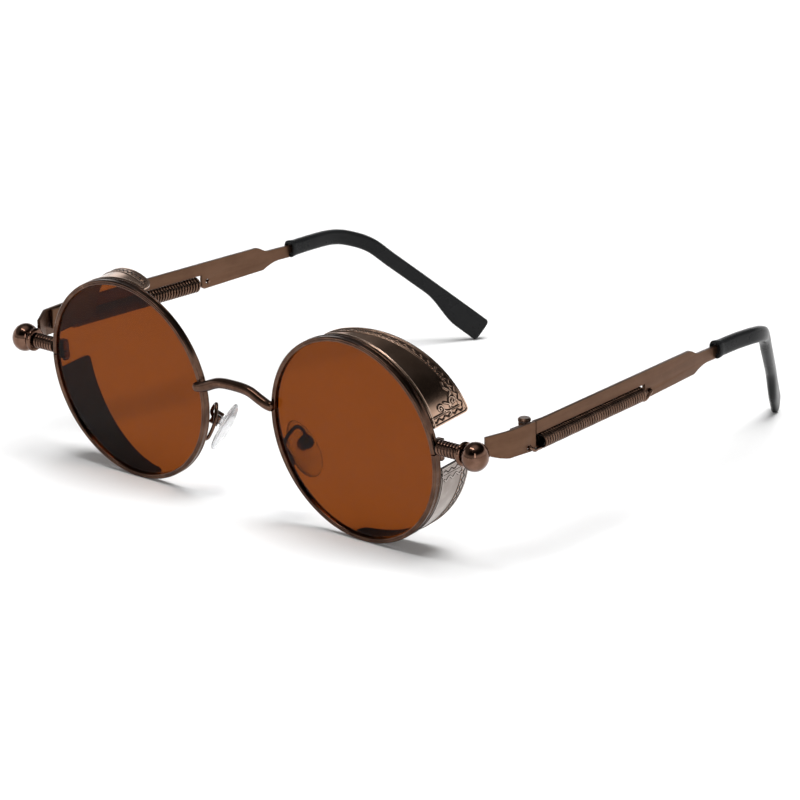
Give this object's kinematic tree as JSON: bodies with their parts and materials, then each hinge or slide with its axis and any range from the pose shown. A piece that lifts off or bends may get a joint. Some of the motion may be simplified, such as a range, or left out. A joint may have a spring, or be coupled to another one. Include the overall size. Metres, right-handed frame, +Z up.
{
  "type": "sunglasses",
  "caption": "Round sunglasses with metal side shields, ribbed studs, folding temples trimmed with coil springs, nose pads and curved ear tips.",
  "frame": {"origin": "centre of the bounding box on the surface that the glasses stand on", "axes": "+X to the wearer's left, +Y from the lenses back to the ear tips, +Z up"},
  "size_m": [0.1538, 0.148, 0.0511],
  "materials": {
    "dark_bronze": "polished dark bronze plating",
    "satin_bronze": "satin coffee-brown plating",
    "spring_wire": "dark bronze plated wire",
    "brown_lens": "tinted transparent",
    "black_tip": "glossy",
    "clear_silicone": "clear silicone"
  },
  "bodies": {
    "front": {"bridge": "dark_bronze", "rim_left": "dark_bronze", "lens_left": "brown_lens", "upper_shield_left": "dark_bronze", "lower_shield_left": "dark_bronze", "rim_lock_upper_left": "dark_bronze", "rim_lock_lower_left": "dark_bronze", "rim_lock_screw_left": "spring_wire", "stud_left": "dark_bronze", "collar_left": "dark_bronze", "knob_left": "dark_bronze", "hinge_plate_left": "satin_bronze", "front_hinge_left": "satin_bronze", "hinge_screw_left": "dark_bronze", "pad_arm_left": "dark_bronze", "pad_box_left": "dark_bronze", "pad_screw_left": "spring_wire", "rim_right": "dark_bronze", "lens_right": "brown_lens", "upper_shield_right": "dark_bronze", "lower_shield_right": "dark_bronze", "rim_lock_upper_right": "dark_bronze", "rim_lock_lower_right": "dark_bronze", "rim_lock_screw_right": "spring_wire", "stud_right": "dark_bronze", "collar_right": "dark_bronze", "knob_right": "dark_bronze", "hinge_plate_right": "satin_bronze", "front_hinge_right": "satin_bronze", "hinge_screw_right": "dark_bronze", "pad_arm_right": "dark_bronze", "pad_box_right": "dark_bronze", "pad_screw_right": "spring_wire"},
    "temple_left": {"temple_left": "satin_bronze", "temple_hinge_left": "satin_bronze", "spring_left": "spring_wire", "tip_left": "black_tip"},
    "pad_left": {"nose_pad_left": "clear_silicone"},
    "temple_right": {"temple_right": "satin_bronze", "temple_hinge_right": "satin_bronze", "spring_right": "spring_wire", "tip_right": "black_tip"},
    "pad_right": {"nose_pad_right": "clear_silicone"}
  },
  "joints": [
    {"name": "fold_left", "type": "hinge", "parent": "front", "child": "temple_left", "pos_m": [0.07285, -0.05311, 0.02519], "axis": [0, 0, 1], "range_deg": [0, 78], "deforming": ["spring_left"]},
    {"name": "pad_rock_left", "type": "hinge", "parent": "front", "child": "pad_left", "pos_m": [0.01421, -0.06278, 0.01806], "axis": [-0.3342, -0.9182, -0.2129], "range_deg": [-8, 8]},
    {"name": "fold_right", "type": "hinge", "parent": "front", "child": "temple_right", "pos_m": [-0.07285, -0.05311, 0.02519], "axis": [0, 0, -1], "range_deg": [0, 66], "deforming": ["spring_right"]},
    {"name": "pad_rock_right", "type": "hinge", "parent": "front", "child": "pad_right", "pos_m": [-0.01421, -0.06278, 0.01806], "axis": [-0.3342, 0.9182, 0.2129], "range_deg": [-8, 8]}
  ]
}
